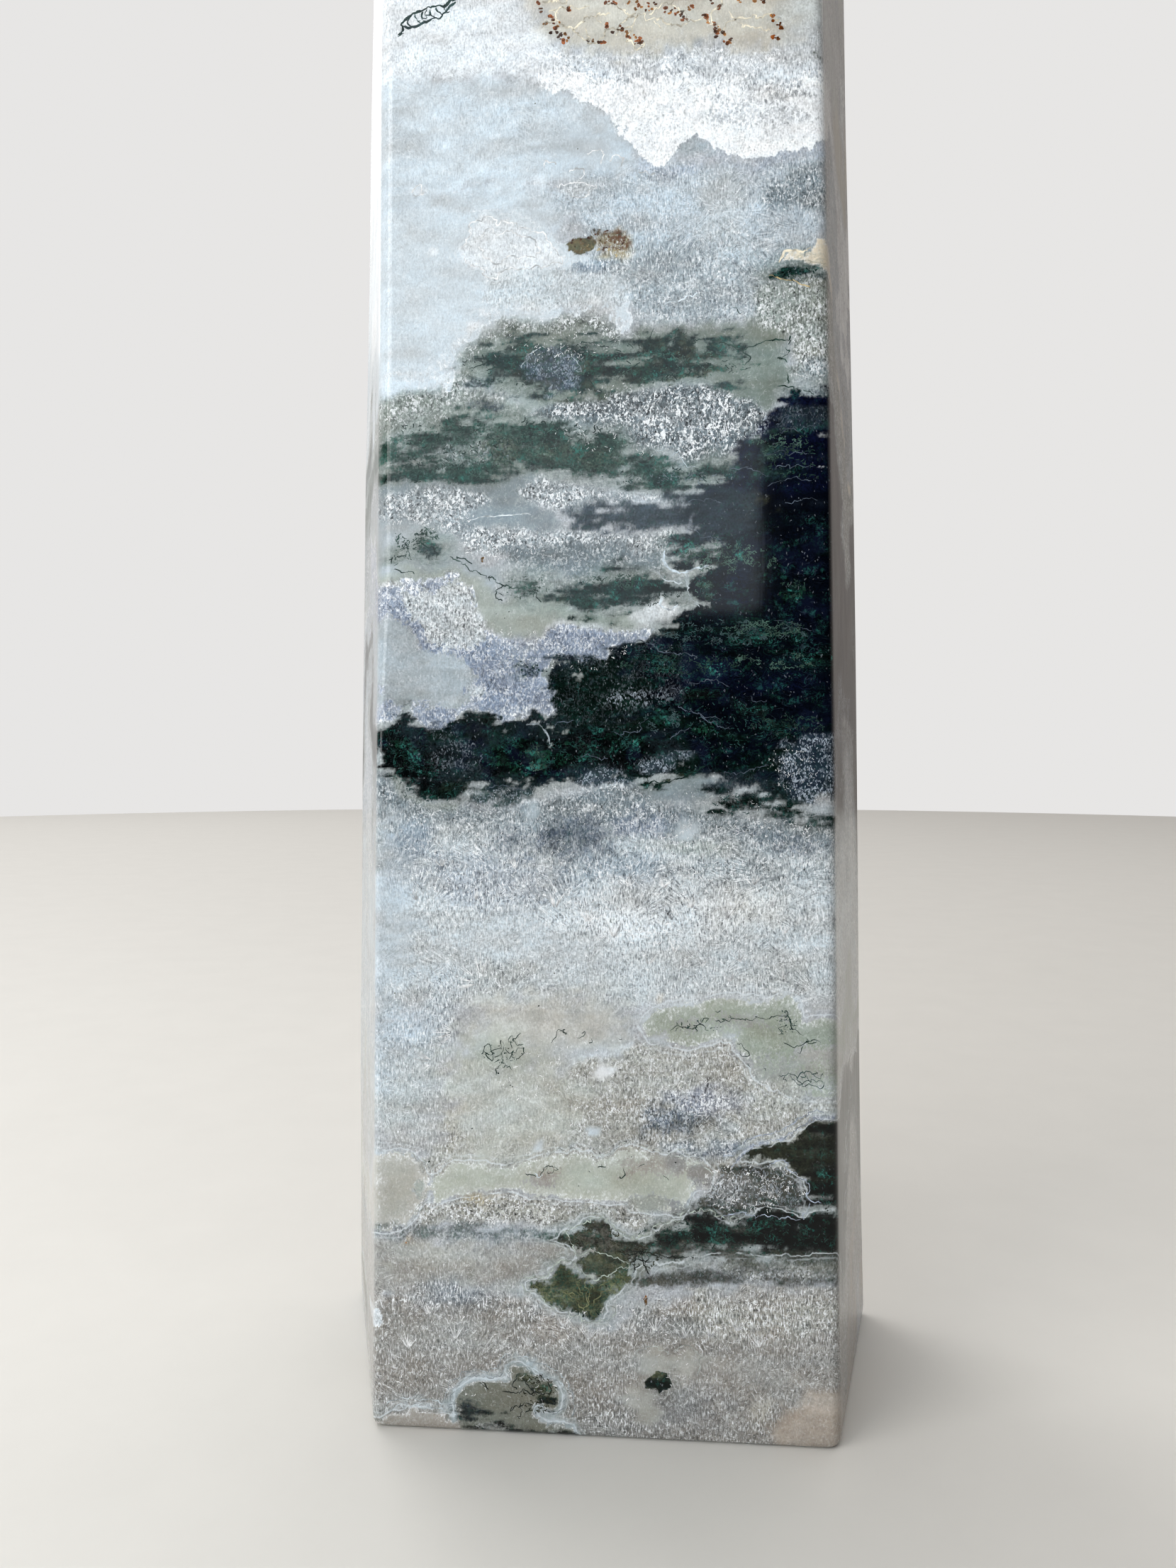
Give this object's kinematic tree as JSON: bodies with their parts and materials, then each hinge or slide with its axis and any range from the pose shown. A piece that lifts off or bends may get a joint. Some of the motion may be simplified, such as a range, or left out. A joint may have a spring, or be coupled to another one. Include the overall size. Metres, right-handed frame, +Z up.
{
  "type": "moss agate tower",
  "caption": "Tall four-sided tower cut from one piece of moss agate, polished all over, tapering from a flat foot to a four-facet point; stands free.",
  "frame": {"origin": "middle of the footprint box, on the surface that the tower stands on", "axes": "+Z up along the height, -Y out of the wide polished show face, +X to the right of someone who looks at that face"},
  "size_m": [0.0722, 0.034, 0.231],
  "materials": {
    "moss_agate": "high polish on banded moss agate: milky blue-grey and white chalcedony with dark green moss bands"
  },
  "bodies": {
    "root": {"tower": "moss_agate"}
  },
  "joints": []
}
